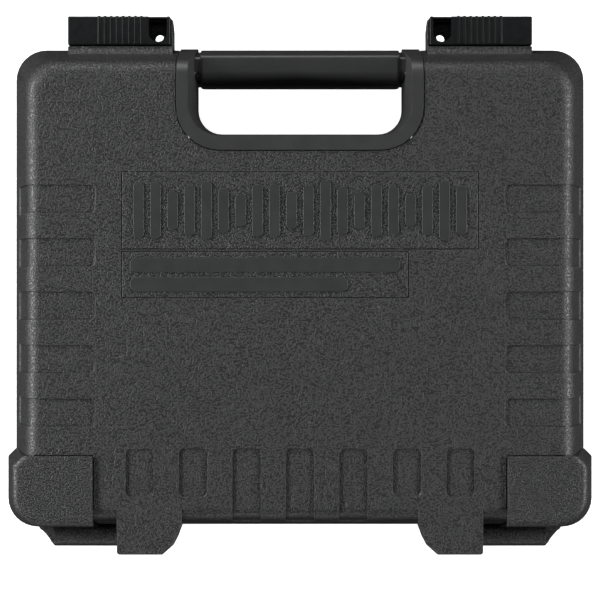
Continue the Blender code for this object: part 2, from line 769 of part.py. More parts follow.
def tab_core():
    """The tab is hollow towards the inside of the lid."""
    return box((BORE_START, TAB_OUTER - TAB_WALL), (REAR_Y - 30 * MM, HINGE_Y + 2 * MM),
               (KNUCKLE_RADIUS + TAB_WALL, LID_HEIGHT - TAB_WALL))


def pin_bore():
    return cylinder((BORE_START, HINGE_Y, 0), (FOOT_OUTER + 10 * MM, HINGE_Y, 0),
                    PIN_RADIUS + PIN_CLEARANCE)


def foot_outline():
    """Plan of a rear standing foot, tapered at its outer end."""
    rear = REAR_Y + HINGE_REACH
    front = REAR_Y - 8 * MM
    return rounded_outline((
        (FOOT_INNER, front, 0), (FOOT_OUTER, front, 0), (FOOT_OUTER, REAR_Y + 1.8 * MM, 0),
        (FOOT_OUTER - FOOT_TAPER, rear, TAB_CORNER), (FOOT_INNER + TAB_CHAMFER, rear, TAB_CORNER),
        (FOOT_INNER, REAR_Y + 2 * MM, TAB_CORNER)))


def stop_depth():
    """How far under the hinge axis the lid tab's back comes down at its open angle."""
    reach = REAR_Y + HINGE_REACH - HINGE_Y
    along = (reach - reach * math.cos(OPEN_ANGLE)) / math.sin(OPEN_ANGLE)
    return reach * math.sin(OPEN_ANGLE) - along * math.cos(OPEN_ANGLE)


def base_foot():
    """Rear foot in the half frame: it carries the pin and stops the open lid."""
    return flat_solid(foot_outline(), HALF_GAP, BASE_HEIGHT - FOOT_BOTTOM)


def foot_knuckle():
    """Round end of the foot that holds the pin outboard of the lid's tab."""
    return cylinder((TAB_OUTER + FOOT_SIDE_GAP, HINGE_Y, 0), (KNUCKLE_OUTER, HINGE_Y, 0),
                    KNUCKLE_RADIUS)


def foot_relief():
    """Room for the lid's tab and knuckle beside the foot's own knuckle."""
    return box((TAB_INNER - 5 * MM, TAB_OUTER + FOOT_SIDE_GAP), (REAR_Y, REAR_Y + 30 * MM),
               (-5 * MM, stop_depth() + FIT))


def knuckle_room():
    """Room in the base for the lid's knuckle, wherever the hinge axis lies."""
    return cylinder((TAB_INNER, HINGE_Y, 0), (TAB_OUTER + FOOT_SIDE_GAP, HINGE_Y, 0),
                    KNUCKLE_RADIUS + KNUCKLE_ROOM)


def foot_knuckle_room():
    """The same room in the lid for the knuckles of the feet."""
    return cylinder((TAB_OUTER + FOOT_SIDE_GAP / 2, HINGE_Y, 0),
                    (KNUCKLE_OUTER + FOOT_SIDE_GAP, HINGE_Y, 0), KNUCKLE_RADIUS + KNUCKLE_ROOM)


def foot_core():
    """The foot is hollow towards the inside of the base."""
    return box((FOOT_INNER + TAB_CHAMFER, FOOT_OUTER - 2 * FOOT_TAPER),
               (REAR_Y - 30 * MM, REAR_Y + HINGE_REACH - TAB_WALL),
               (stop_depth() + PIN_RADIUS + 2 * TAB_WALL, BASE_HEIGHT - FOOT_BOTTOM - TAB_WALL))


def make_pin(hand, name, material):
    start = BORE_START + FIT
    end = KNUCKLE_OUTER - FIT
    pin = cylinder((hand * start, HINGE_Y, PARTING_Z), (hand * end, HINGE_Y, PARTING_Z), PIN_RADIUS)
    return add_part(name, pin, material)


# ---- Latches ----

def ledge(low, high):
    """Thickened part of the front wall behind a latch."""
    return box((LATCH_INNER - LATCH_WALL / 2, LATCH_OUTER), (FRONT_Y - LEDGE_PROUD, FRONT_Y + 6 * MM),
               (low, high))


def lid_rail():
    """Flange and upright lip that the latch runs on."""
    tip = FRONT_Y - FLANGE_REACH
    plate = box((LATCH_INNER, RAIL_OUTER), (tip, FRONT_Y), (HALF_GAP, HALF_GAP + FLANGE_THICKNESS))
    return plate


def rail_lip():
    tip = FRONT_Y - FLANGE_REACH
    inner = LATCH_INNER + LATCH_WALL + LATCH_TRAVEL + LATCH_PLAY
    return box((inner, RAIL_OUTER), (tip, tip + LIP_WIDTH),
               (FLANGE_THICKNESS / 2, HALF_GAP + FLANGE_THICKNESS + LIP_HEIGHT))


def stop_lug():
    """Lug on the flange that ends the latch's outward travel."""
    inner = NOTCH_INNER + NOTCH_WIDTH + LATCH_WALL + LATCH_TRAVEL + LATCH_PLAY
    return box((inner, inner + STOP_WIDTH),
               (FRONT_Y - FLANGE_REACH + LIP_WIDTH + LATCH_PLAY, FRONT_Y - 2 * LATCH_WALL),
               (FLANGE_THICKNESS / 2, HALF_GAP + FLANGE_THICKNESS + STOP_HEIGHT))


def cheek():
    """End plate of the rail that the closed latch rests against."""
    outer = LATCH_INNER - LATCH_PLAY
    inner = outer - CHEEK_WIDTH
    front = FRONT_Y - CHEEK_REACH
    points = ((inner, FRONT_Y + 1 * MM), (inner, front + CHEEK_CHAMFER * 2),
              (outer - 0.3 * MM, front), (outer, front), (outer, FRONT_Y + 1 * MM))
    return flat_solid(points, HALF_GAP, CHEEK_HEIGHT)


def shackle_hole():
    middle = NOTCH_INNER + NOTCH_WIDTH / 2
    y = FRONT_Y - SHACKLE_Y
    return cylinder((middle, y, -30 * MM), (middle, y, 30 * MM), SHACKLE_HOLE)


def base_catch():
    """Teeth under which the latch's fingers hook, and the base's padlock eye."""
    tip = FRONT_Y - FLANGE_REACH
    solids = [box((middle - TOOTH_WIDTH / 2, middle + TOOTH_WIDTH / 2), (tip, FRONT_Y),
                  (HALF_GAP, HALF_GAP + TOOTH_HEIGHT)) for middle in TOOTH_MIDDLES]
    solids.append(box((NOTCH_INNER, NOTCH_INNER + NOTCH_WIDTH), (tip, FRONT_Y),
                      (HALF_GAP, HALF_GAP + TOOTH_HEIGHT)))
    return gather(solids)


def add_front_fittings(shell, side):
    """Latch ledge with the lid's rail or the base's catch, on both sides of the handle."""
    join(shell, in_half(both_sides(lambda: ledge(HALF_GAP, LEDGE_HEIGHT)), side), "ledges")
    if side == LID:
        join(shell, in_half(both_sides(lid_rail), side), "rails")
        join(shell, in_half(both_sides(rail_lip), side), "lips")
        join(shell, in_half(both_sides(stop_lug), side), "stops")
        join(shell, in_half(both_sides(cheek), side), "cheeks")
    else:
        join(shell, in_half(both_sides(base_catch), side), "catches")
    cut(shell, in_half(both_sides(shackle_hole), side), "shackle_holes")


def latch_channel():
    """The latch's outer form less the room for the rail, in the half frame of the lid."""
    front = FRONT_Y - LATCH_FRONT
    back = FRONT_Y - LEDGE_PROUD - LATCH_PLAY
    return bevelled_box((LATCH_INNER, LATCH_OUTER), (front, back), (-LATCH_BOTTOM, LATCH_TOP),
                        LATCH_BEVEL)


def latch_channel_room():
    """Space inside the latch for the lip, the flange and the base's teeth."""
    front = FRONT_Y - LATCH_FRONT + LATCH_WALL
    back = FRONT_Y - LEDGE_PROUD - LATCH_PLAY - LATCH_WALL
    lip_room = box((LATCH_INNER + LATCH_WALL, LATCH_OUTER - LATCH_WALL), (front, back),
                   (0, LATCH_TOP - LATCH_WALL))
    return lip_room


def latch_lower_room():
    """Everything behind the front wall from the flange's top down."""
    front = FRONT_Y - LATCH_FRONT + LATCH_WALL
    return box((0, FAR), (front, FRONT_Y + 10 * MM),
               (-LATCH_BOTTOM - 5 * MM, HALF_GAP + FLANGE_THICKNESS + LATCH_PLAY))


def latch_fingers():
    front = FRONT_Y - LATCH_FRONT + LATCH_WALL / 2
    back = FRONT_Y - LEDGE_PROUD - LATCH_WALL
    high = -(HALF_GAP + TOOTH_HEIGHT + FIT)
    return gather([box((middle - FINGER_WIDTH / 2, middle + FINGER_WIDTH / 2), (front, back),
                       (high - FINGER_THICKNESS, high)) for middle in TOOTH_MIDDLES])


def latch_stop_rib():
    """Rib behind the notch that meets the stop lug."""
    inner = NOTCH_INNER + NOTCH_WIDTH
    back = FRONT_Y - LEDGE_PROUD - LATCH_PLAY - LATCH_WALL / 2
    front = FRONT_Y - FLANGE_REACH + LIP_WIDTH + LATCH_PLAY
    return box((inner, inner + LATCH_WALL), (front, back),
               (HALF_GAP + FLANGE_THICKNESS + LATCH_PLAY, LATCH_TOP - LATCH_WALL / 2))


def latch_notch():
    """Pocket in the latch's top that shows the padlock eye."""
    back = FRONT_Y - LEDGE_PROUD - LATCH_PLAY - NOTCH_REAR
    front = FRONT_Y - LATCH_FRONT + LATCH_WALL / 2
    outer = NOTCH_INNER + NOTCH_WIDTH
    radius = NOTCH_WIDTH / 2 - 0.1 * MM
    points = rounded_outline(((NOTCH_INNER, front, 0), (outer, front, 0),
                              (outer, back, radius), (NOTCH_INNER, back, radius)))
    return flat_solid(points, LATCH_TOP - 3 * LATCH_WALL, LATCH_TOP + 5 * MM)


def latch_notch_front():
    front = FRONT_Y - LATCH_FRONT
    return box((NOTCH_INNER, NOTCH_INNER + NOTCH_WIDTH), (front - 5 * MM, front + 2 * LATCH_WALL),
               (LATCH_TOP - NOTCH_FRONT_STEP, LATCH_TOP + 5 * MM))


def latch_ribs():
    """Grip ribs down the front of a latch."""
    front = FRONT_Y - LATCH_FRONT
    sunk = RIB_RADIUS - RIB_PROUD
    solids = []
    for index in range(RIB_COUNT):
        x = RIB_FIRST + index * RIB_PITCH
        solids.append(cylinder((x, front + sunk, -LATCH_BOTTOM + 2 * MM),
                               (x, front + sunk, LATCH_TOP - LATCH_BEVEL), RIB_RADIUS, 10))
    return gather(solids)


def latch_top_ribs():
    """Lower ribs that carry the grip pattern over the latch's top."""
    front = FRONT_Y - LATCH_FRONT
    back = FRONT_Y - LEDGE_PROUD - LATCH_PLAY
    level = LATCH_TOP - RIB_RADIUS + TOP_RIB_PROUD
    return gather([cylinder((RIB_FIRST + index * RIB_PITCH, front + LATCH_BEVEL, level),
                            (RIB_FIRST + index * RIB_PITCH, back - LATCH_BEVEL, level), RIB_RADIUS, 10)
                   for index in range(RIB_COUNT)])


def make_latch(hand, name, material, parent):
    """A sliding latch: it runs on the lid's rail and hooks under the base's teeth."""

    def placed(solid):
        if hand == LEFT:
            reflected(solid, 0)
        return in_half(solid, LID)

    latch = add_part(name, placed(latch_channel()), material, parent)
    cut(latch, placed(latch_channel_room()), "lip_room")
    cut(latch, placed(latch_lower_room()), "lower_room")
    join(latch, placed(latch_fingers()), "fingers")
    join(latch, placed(latch_stop_rib()), "stop_rib")
    cut(latch, placed(latch_notch()), "notch")
    cut(latch, placed(latch_notch_front()), "notch_front")
    join(latch, placed(latch_ribs()), "ribs")
    join(latch, placed(latch_top_ribs()), "top_ribs")
    even_shading(latch)
    return latch


# ---- Rubber feet and foam ----

def pad_places():
    x = SIDE_X - PAD_INSET_X
    return {"foot_front_left": (-x, FRONT_Y + PAD_INSET_Y), "foot_front_right": (x, FRONT_Y + PAD_INSET_Y),
            "foot_rear_left": (-x, REAR_Y - PAD_INSET_Y), "foot_rear_right": (x, REAR_Y - PAD_INSET_Y)}


def make_rubber_feet(material):
    for name, (x, y) in pad_places().items():
        top = STAND_OFF + PAD_RECESS - FIT
        profile = ((0, top), (PAD_RADIUS, top), (PAD_RADIUS, 1.0 * MM), (PAD_RADIUS - 1.0 * MM, 0),
                   (0, 0))
        solid = turned(profile, SIDES_ROUND + 8)
        bmesh.ops.translate(solid, vec=(x, y, 0), verts=solid.verts)
        add_part(name, solid, material)


def pad_recesses():
    return gather([cylinder((x, y, -5 * MM), (x, y, STAND_OFF + PAD_RECESS), PAD_RADIUS + FIT,
                            SIDES_ROUND + 8) for x, y in pad_places().values()])


def foam_front():
    return FRONT_Y + HANDLE_DEPTH + LUG_REACH + LUG_HALF_WIDTH + FOAM_CLEARANCE


def flat_half_width(side):
    """Half the width of the flat part of a half's face."""
    return SIDE_X - HEIGHTS[side] * math.tan(DRAFTS[side]) - EDGE_ROUNDING


def flat_rear(side):
    return REAR_Y - HEIGHTS[side] * math.tan(REAR_DRAFTS[side]) - EDGE_ROUNDING


def sheet_outline(half, rear):
    """Outline of a foam sheet that lies on the flat part of a face."""
    corner = PLAN_RADIUS - EDGE_ROUNDING
    front = foam_front()
    return rounded_outline(((-half, front, corner), (half, front, corner),
                            (half, rear, corner), (-half, rear, corner)))


def make_base_foam(material, divider_material):
    """Floor sheet, frame with the pedal bays and the dividers between the bays."""
    low = STAND_OFF + WALL + FIT
    floor_half = flat_half_width(BASE) - FOAM_CLEARANCE
    floor_rear = flat_rear(BASE) - FOAM_CLEARANCE
    floor_top = low + FLOOR_FOAM
    add_part("base_foam_floor", flat_solid(sheet_outline(floor_half, floor_rear), low, floor_top),
             material)
    bottom = floor_top + FIT
    top = PARTING_Z - FRAME_FOAM_TOP
    depth = PARTING_Z - bottom
    half = SIDE_X - WALL - depth * math.tan(BASE_DRAFT) - FOAM_CLEARANCE
    rear = REAR_Y - WALL - depth * math.tan(BASE_REAR_DRAFT) - FOAM_CLEARANCE
    corner = PLAN_RADIUS - WALL
    outline = rounded_outline(((-half, foam_front(), 2 * MM), (half, foam_front(), 2 * MM),
                               (half, rear, corner), (-half, rear, corner)))
    frame = add_part("base_foam_frame", flat_solid(outline, bottom, top), material)
    bay_width = PEDAL_WIDTH + 2 * BAY_CLEARANCE
    bay_length = PEDAL_LENGTH + 2 * BAY_CLEARANCE
    row = (BAY_COUNT * bay_width + (BAY_COUNT - 1) * DIVIDER_WIDTH) / 2
    bay_rear = rear - REAR_BORDER
    bay_front = bay_rear - bay_length
    trench_rear = bay_front - TRENCH_WEB
    well = box((-row, row), (bay_front, bay_rear), (bottom - 5 * MM, top + 5 * MM))
    trench = box((-row, row), (trench_rear - TRENCH_WIDTH, trench_rear),
                 (bottom - 5 * MM, top + 5 * MM))
    cut(frame, gather([well, trench]), "bays")
    names = ("foam_divider_left", "foam_divider_right")
    for index, name in enumerate(names):
        middle = -row + (index + 1) * bay_width + (index + 0.5) * DIVIDER_WIDTH
        half_divider = DIVIDER_WIDTH / 2 - FIT
        add_part(name, box((middle - half_divider, middle + half_divider),
                           (bay_front + FIT, bay_rear - FIT), (bottom, top)), divider_material)


def make_lid_foam(material, parent):
    high = PARTING_Z + LID_HEIGHT - WALL - FIT
    half = flat_half_width(LID) - FOAM_CLEARANCE
    rear = flat_rear(LID) - FOAM_CLEARANCE
    add_part("lid_foam_pad", flat_solid(sheet_outline(half, rear), high - LID_FOAM, high),
             material, parent)


# ---- Tongue and rabbet ----

def tongue_outline(outward):
    grow = -WALL + outward
    return rounded_outline(tuple((x * (SIDE_X + grow), SHELL_Y + y * (SHELL_DEPTH / 2 + grow),
                                  PLAN_RADIUS + grow)
                                 for x, y in ((-1, -1), (1, -1), (1, 1), (-1, 1))))


def tongue_ring():
    """Ring on the inner half of the base's rim, standing up into the lid."""
    return flat_solid(tongue_outline(TONGUE_WIDTH), -TONGUE_HEIGHT, 4 * MM)


# ---- Assembly ----

clear_scene()
parts = new_collection(OBJECT_NAME)
tools = new_collection(OBJECT_NAME + "_cutters")

grained_abs = new_material("grained_abs", (0.050, 0.051, 0.051), 0.55)
smooth_abs = new_material("smooth_abs", (0.040, 0.041, 0.040), 0.42)
latch_plastic = new_material("latch_plastic", (0.012, 0.013, 0.014), 0.33)
steel = new_material("steel", (0.55, 0.55, 0.56), 0.3, 1.0)
rubber = new_material("rubber", (0.015, 0.015, 0.015), 0.8)
foam = new_material("foam", (0.030, 0.030, 0.032), 0.95)

lid_hinge = new_empty("lid_hinge", (0, HINGE_Y, PARTING_Z))

base_shell = make_shell(BASE, "base_shell", grained_abs)
add_front_fittings(base_shell, BASE)
join(base_shell, in_half(both_sides(base_foot), BASE), "rear_feet")
join(base_shell, in_half(both_sides(foot_knuckle), BASE), "foot_knuckles")
cut(base_shell, in_half(both_sides(foot_relief), BASE), "tab_relief")
cut(base_shell, in_half(both_sides(knuckle_room), BASE), "knuckle_room")
cut(base_shell, in_half(both_sides(foot_core), BASE), "foot_cores")
cut(base_shell, in_half(both_sides(pin_bore), BASE), "pin_bores")
cut(base_shell, pad_recesses(), "foot_recesses")
ring = join(base_shell, in_half(tongue_ring(), BASE), "tongue")
ring_hole = ring.modifiers.new("hole", "BOOLEAN")
ring_hole.operation = "DIFFERENCE"
ring_hole.solver = "EXACT"
ring_hole.object = add_tool("base_shell_tongue_hole",
                            in_half(flat_solid(tongue_outline(0.0), -20 * MM, 20 * MM), BASE))
ring_front = ring.modifiers.new("handle_opening", "BOOLEAN")
ring_front.operation = "DIFFERENCE"
ring_front.solver = "EXACT"
ring_front.object = add_tool("base_shell_tongue_opening",
                             in_half(flat_solid(surround_outline(FIT), -20 * MM, 20 * MM), BASE))

even_shading(base_shell)

lid_shell = make_shell(LID, "lid_shell", grained_abs, lid_hinge)
add_front_fittings(lid_shell, LID)
join(lid_shell, in_half(both_sides(lid_tab), LID), "tabs")
join(lid_shell, in_half(both_sides(tab_knuckle), LID), "knuckles")
rabbet = flat_solid(tongue_outline(TONGUE_WIDTH + FIT), -10 * MM, TONGUE_HEIGHT + FIT)
cut(lid_shell, in_half(rabbet, LID), "rabbet")
cut(lid_shell, in_half(both_sides(tab_core), LID), "tab_cores")
cut(lid_shell, in_half(both_sides(foot_knuckle_room), LID), "knuckle_room")
cut(lid_shell, in_half(both_sides(pin_bore), LID), "pin_bores")
even_shading(lid_shell)

make_handle_half(BASE, "base_handle_half", smooth_abs)
make_handle_half(LID, "lid_handle_half", smooth_abs, lid_hinge)
make_screws(BASE, "base_handle_screw", steel)
make_screws(LID, "lid_handle_screw", steel, lid_hinge)
for hand, word in ((LEFT, "left"), (RIGHT, "right")):
    make_guard(BASE, hand, f"base_guard_{word}", grained_abs)
    make_guard(LID, hand, f"lid_guard_{word}", grained_abs, lid_hinge)
    make_pin(hand, f"hinge_pin_{word}", steel)
    slide = new_empty(f"latch_{word}_slide", (hand * (LATCH_INNER + LATCH_OUTER) / 2,
                                              FRONT_Y - LATCH_FRONT / 2, PARTING_Z), lid_hinge)
    make_latch(hand, f"latch_{word}", latch_plastic, slide)
make_rubber_feet(rubber)
make_base_foam(foam, foam)
make_lid_foam(foam, lid_hinge)
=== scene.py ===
"""Looks of the hard-shell pedalboard case: fine surfaces, relief, foam and the studio.

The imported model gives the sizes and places. This script adds only the height of the
parting plane, the fields of the lid's relief and the sizes of fine details. Metres,
+Z up; the hinges are at +Y and the handle at -Y.
"""

import json
import math

import bmesh
import bpy
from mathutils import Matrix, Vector, noise

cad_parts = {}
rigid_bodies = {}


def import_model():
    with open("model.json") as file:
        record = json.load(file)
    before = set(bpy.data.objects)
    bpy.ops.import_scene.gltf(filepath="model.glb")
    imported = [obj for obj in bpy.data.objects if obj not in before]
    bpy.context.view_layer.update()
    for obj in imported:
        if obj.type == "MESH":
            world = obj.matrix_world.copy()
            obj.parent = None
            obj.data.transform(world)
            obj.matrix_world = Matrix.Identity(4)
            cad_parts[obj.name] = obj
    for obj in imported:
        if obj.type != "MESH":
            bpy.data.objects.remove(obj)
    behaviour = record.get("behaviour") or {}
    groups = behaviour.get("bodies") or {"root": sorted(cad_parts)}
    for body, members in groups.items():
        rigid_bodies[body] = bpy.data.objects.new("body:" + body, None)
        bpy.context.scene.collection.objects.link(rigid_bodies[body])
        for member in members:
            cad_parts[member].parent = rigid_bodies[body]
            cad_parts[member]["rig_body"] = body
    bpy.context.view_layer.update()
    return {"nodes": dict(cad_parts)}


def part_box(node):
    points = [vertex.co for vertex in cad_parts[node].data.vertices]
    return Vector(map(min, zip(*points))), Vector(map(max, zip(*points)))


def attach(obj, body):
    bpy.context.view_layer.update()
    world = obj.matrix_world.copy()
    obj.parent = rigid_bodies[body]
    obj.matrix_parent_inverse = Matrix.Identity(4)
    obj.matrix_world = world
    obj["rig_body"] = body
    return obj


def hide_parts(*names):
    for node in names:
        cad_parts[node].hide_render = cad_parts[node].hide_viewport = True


MM = 0.001

# ---- Softened edges ----
SHARP = math.radians(38)      # convex edges turning more than this are rounded
SMOOTH = math.radians(32)     # edges turning less than this are shaded smooth
FLAT = math.radians(0.4)      # faces turning less than this are one flat face
PARTING_Z = 54.5 * MM         # the plane where the lid meets the base
RIM_REACH = 1.5 * MM          # faces this near the parting plane are the rims
LEVEL = 0.99                  # upright share of a level face's normal
WELD = 0.002 * MM             # points nearer than this are one point
EDGE_SEGMENTS = 2
EDGE_PROFILE = 0.6
NORMALS_LARGEST = 100         # shading follows the largest faces
NORMALS_BY_AREA = 50          # shading is weighted by the faces' area
LATCH_EDGE = 0.3 * MM
PIN_EDGE = 0.3 * MM
FOOT_EDGE = 0.4 * MM
SCREW_EDGE = 0.12 * MM
MOULDINGS = {                 # word in a node's name: surface, width of its edges
    "shell": ("grained_abs", 0.5 * MM),
    "handle_half": ("smooth_abs", 0.5 * MM),
    "guard": ("grained_abs", 0.55 * MM),
}

# ---- Relief on the lid ----
# Fields: low x, high x, low y, high y
WAVE_FIELD = (-89.5 * MM, 89.5 * MM, -55.2 * MM, -15.9 * MM)
STRIPE_FIELD = (-54.5 * MM, 89.5 * MM, -15.3 * MM, 8.4 * MM)
FRAME_WIDTH = 0.5 * MM
FRAME_DEPTH = 0.4 * MM
CUT_ABOVE = 5 * MM            # how far a groove's cutter reaches over the lid's face
RELIEF_FOOT = 0.5 * MM        # how far the bars reach under the lid's face
RELIEF_PROUD = 0.55 * MM      # how far they stand above it
RELIEF_EDGE = 0.25 * MM
RELIEF_EDGE_SEGMENTS = 3
RELIEF_MARGIN = 4.5 * MM
BAR_CORNER = 0.4              # corner radius as a share of a bar's width
BAR_CORNER_SEGMENTS = 5
ROUND_PROFILE = 0.5
WAVE_PITCH = 8.5 * MM
WAVE_BAR = 5.4 * MM
WAVE_SHORTEST = 0.4           # shortest bar as a share of the longest
WAVE_FAST = (0.9, 0.6, 0.75)  # step per bar in radians, start, share of the swing
WAVE_SLOW = (0.37, 0.25)      # step per bar in radians, share of the swing
STRIPE_COUNT = 2
STRIPE_GAP = 2.6 * MM
STRIPE_STEP = 26.0 * MM       # how much further in each next stripe starts
STRIPE_MARGIN = 3.4 * MM

# ---- Grooves beside the guards ----
GUARD_TOP_MARGIN = 1.0 * MM   # a guard's points this far over the lid's face give its outline
GROOVE_WIDTH = 0.5 * MM
GROOVE_UNDER = 0.3 * MM       # how far a groove runs on under the guard
GROOVE_DEPTH = 0.8 * MM
GROOVE_END = 7.0 * MM         # the grooves stop this far from the guard's outer ends

# ---- Screw heads ----
SCREW_SLOT_LENGTH = 3.4 * MM
SCREW_SLOT_WIDTH = 0.8 * MM
SCREW_SLOT_DEPTH = 1.0 * MM

# ---- Foam ----
CONE_PITCH = 26.0 * MM
CONE_DEPTH = 8.0 * MM
FOAM_STEP = 2.0 * MM          # size of the net of small faces
FOAM_ROUNDS = 3               # rounds of smoothing
FOAM_EASE = 0.5               # share of the way a point moves in each round
FOAM_UNEVEN = 0.3 * MM
FOAM_WAVELENGTH = 18.0 * MM

# ---- Camera ----
CAMERA_HEIGHT = 1.2985
CAMERA_Y = 9.25 * MM
CAMERA_LENS = 144.0           # millimetres, as is the sensor
SENSOR = 36.0
CLIP_NEAR = 0.05
CLIP_FAR = 20.0

# ---- Floor and light ----
FLOOR_SIZE = 4.0
FLOOR_Z = -0.3 * MM
FLOOR_COLOUR = (0.6, 0.6, 0.6)
FLOOR_ROUGHNESS = 0.7
FLOOR_GLOW = 0.9
LIGHT_TARGET = (0, 0, 0.08)
LIGHTS = (                    # name, place, width, height, watts
    ("key", (1.12, -0.12, 0.50), 1.2, 0.22, 27.0),
    ("fill", (-1.12, -0.05, 0.48), 1.2, 0.22, 20.0),
    ("front", (0.25, -1.15, 0.45), 1.0, 0.25, 8.0),
    ("rear", (0.2, 1.15, 0.32), 1.0, 0.25, 3.0),
)
WORLD_COLOUR = (0.95, 0.97, 1.0)
WORLD_LOW = 0.01              # strength from below
WORLD_HIGH = 0.16             # strength from above
WORLD_BLEND = (-0.15, 0.25)   # height of direction where it goes from low to high

# ---- Grained plastic, with painted shade and painted highlights ----
GRAIN_SIZE = 0.84 * MM
GRAIN_SLOPE = (0.43, 0.585)   # noise between these values is a pebble's slope
GRAIN_HEIGHT = 0.18 * MM
SWELL_SIZE = 2.6 * MM
SWELL_SHARE = 0.3
REARWARD = (0.12, 0.45)       # rearward share of the normal over which the grain fades
GRAIN_AT_REAR = 0.18          # what is left of it on walls facing the rear
PATCH_SIZE = 45 * MM
PATCH_SHARE = 0.1
# Painted shade in creases and painted highlights at convex edges, from how open the space over
# a point is
CREASE_SHADE_REACH = 1.3 * MM
CREASE_SHADE_TONE = 0.1             # what is left of the tone deep in a crease, painted shade
EDGE_HIGHLIGHT_REACH = 0.8 * MM
EDGE_HIGHLIGHT_TONE = 0.8               # tone added right at an edge, a painted highlight
CREASE_SAMPLES = 8
# Ends of the grained colour: the dark end is painted shade in the pebbles' hollows and in
# creases, the light end painted light on the pebbles' tops and at edges
GRAIN_SHADE_COLOUR = (0.0004, 0.0005, 0.0005)
GRAIN_LIT_COLOUR = (0.0285, 0.029, 0.029)

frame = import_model()
nodes = frame["nodes"]


# ---- Materials ----

class Finish:
    """A node material under construction: one Principled shader and what feeds it."""

    def __init__(self, name, roughness, specular=0.5, metallic=0.0):
        self.material = bpy.data.materials.new(name)
        self.material.use_nodes = True
        self.tree = self.material.node_tree
        self.shader = self.tree.nodes["Principled BSDF"]
        self.shader.inputs["Roughness"].default_value = roughness
        self.shader.inputs["Specular IOR Level"].default_value = specular
        self.shader.inputs["Metallic"].default_value = metallic
        self.place = self.tree.nodes.new("ShaderNodeTexCoord")

    def link(self, source, target):
        self.tree.links.new(source, target)

    def node(self, kind, inputs=None, **settings):
        made = self.tree.nodes.new(kind)
        for key, value in settings.items():
            setattr(made, key, value)
        for key, value in (inputs or {}).items():
            if isinstance(value, bpy.types.NodeSocket):
                self.link(value, made.inputs[key])
            else:
                made.inputs[key].default_value = value
        return made

    def noise(self, size, detail=2.0, roughness=0.5):
        """Soft noise whose features are about size metres across."""
        made = self.node("ShaderNodeTexNoise", {
            "Vector": self.place.outputs["Object"], "Scale": 1.0 / size, "Detail": detail,
            "Roughness": roughness})
        return made.outputs["Fac"]

    def crease(self, distance, inside=False):
        """How open the space over a point is, or, from inside, how far it is from an edge."""
        # Used to paint shade in creases and, from inside, highlights at edges
        made = self.node("ShaderNodeAmbientOcclusion", {"Distance": distance},
                         samples=CREASE_SAMPLES, inside=inside, only_local=True)
        return made.outputs["AO"]

    def remap(self, value, low, high, out_low, out_high):
        made = self.node("ShaderNodeMapRange", {
            "Value": value, "From Min": low, "From Max": high, "To Min": out_low,
            "To Max": out_high}, interpolation_type="SMOOTHSTEP")
        return made.outputs["Result"]

    def math(self, operation, first, second):
        made = self.node("ShaderNodeMath", {0: first, 1: second}, operation=operation)
        return made.outputs[0]

    def mix(self, share, dark, light):
        made = self.node("ShaderNodeMix", {"Factor": share}, data_type="RGBA")
        made.inputs["A"].default_value = (*dark, 1.0)
        made.inputs["B"].default_value = (*light, 1.0)
        return made.outputs["Result"]

    def colour(self, socket):
        self.link(socket, self.shader.inputs["Base Color"])

    def roughness(self, socket):
        self.link(socket, self.shader.inputs["Roughness"])

    def bump(self, height, distance):
        made = self.node("ShaderNodeBump", {
            "Height": height, "Distance": distance, "Strength": 1.0})
        self.link(made.outputs["Normal"], self.shader.inputs["Normal"])


def grained_abs():
    """Moulded plastic with a pebble grain that fades on the walls facing the rear."""
    finish = Finish("grained_abs", 0.5)
    pebbles = finish.remap(finish.noise(GRAIN_SIZE, detail=0.0), *GRAIN_SLOPE, 0.0, 1.0)
    swell = finish.noise(SWELL_SIZE, roughness=0.6)
    height = finish.math("ADD", pebbles, finish.math("MULTIPLY", swell, SWELL_SHARE))
    split = finish.node("ShaderNodeSeparateXYZ", {0: finish.place.outputs["Normal"]})
    grained = finish.remap(split.outputs["Y"], *REARWARD, 1.0, GRAIN_AT_REAR)
    finish.bump(finish.math("MULTIPLY", height, grained), GRAIN_HEIGHT)
    # The colour follows the pebbles' height, painted shade in their hollows and painted light
    # on their tops, with a little random tone in patches
    patches = finish.noise(PATCH_SIZE, detail=3.0)
    tone = finish.math("ADD", finish.math("MULTIPLY", pebbles, 1.0 - PATCH_SHARE),
                       finish.math("MULTIPLY", patches, PATCH_SHARE))
    # Painted shade: the colour darkens where little open space lies over a point, in creases
    crease_shade = finish.remap(finish.crease(CREASE_SHADE_REACH), 0.55, 0.95, CREASE_SHADE_TONE, 1.0)
    # Painted highlight: the colour lightens right at convex edges
    edge = finish.remap(finish.crease(EDGE_HIGHLIGHT_REACH, inside=True), 0.6, 0.95, EDGE_HIGHLIGHT_TONE, 0.0)
    tone = finish.math("ADD", finish.math("MULTIPLY", tone, crease_shade), edge)
    finish.colour(finish.mix(tone, GRAIN_SHADE_COLOUR, GRAIN_LIT_COLOUR))
    finish.roughness(finish.remap(pebbles, 0.0, 1.0, 0.58, 0.45))
    return finish.material


def smooth_abs(name="smooth_abs", dark=(0.021, 0.0215, 0.0215), light=(0.027, 0.0275, 0.027)):
    """The same plastic without grain: satin, with a faint flow pattern."""
    finish = Finish(name, 0.42)
    finish.colour(finish.mix(finish.noise(30 * MM, detail=3.0), dark, light))
    finish.roughness(finish.remap(finish.noise(9 * MM, detail=4.0, roughness=0.6),
                                  0.3, 0.7, 0.38, 0.48))
    finish.bump(finish.noise(0.35 * MM), 0.012 * MM)
    return finish.material


